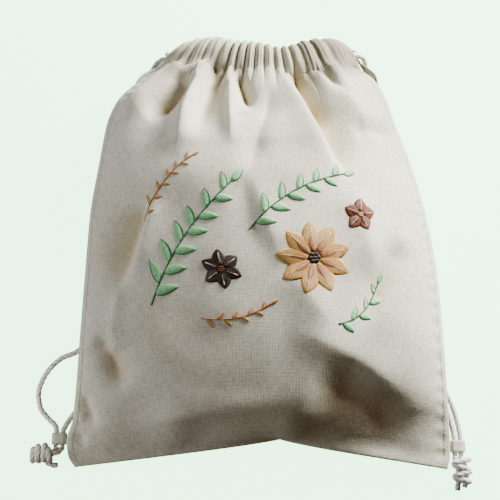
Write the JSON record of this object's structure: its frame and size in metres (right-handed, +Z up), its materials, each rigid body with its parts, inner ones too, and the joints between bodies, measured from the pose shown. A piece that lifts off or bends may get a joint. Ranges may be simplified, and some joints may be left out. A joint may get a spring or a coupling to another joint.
{
  "type": "drawstring bread bag",
  "caption": "Filled drawstring bread bag of natural linen cloth lying on its back, with a gathered mouth, knotted rope cords and corner tabs.",
  "frame": {"origin": "middle of the bag's outline without its cords, on the surface it lies on", "axes": "+Y from the bottom seam towards the gathered mouth, +X to the right as one looks down on the front, +Z up from the back panel to the front panel"},
  "size_m": [0.428, 0.456, 0.1114],
  "materials": {
    "natural_linen": "matte",
    "cotton_tape": "matte",
    "cotton_rope": "matte"
  },
  "bodies": {
    "root": {"front_panel": "natural_linen", "back_panel": "natural_linen", "tab_left": "cotton_tape", "tab_right": "cotton_tape", "cord_left": "cotton_rope", "cord_right": "cotton_rope", "knot_left": "cotton_rope", "knot_right": "cotton_rope"}
  },
  "joints": []
}
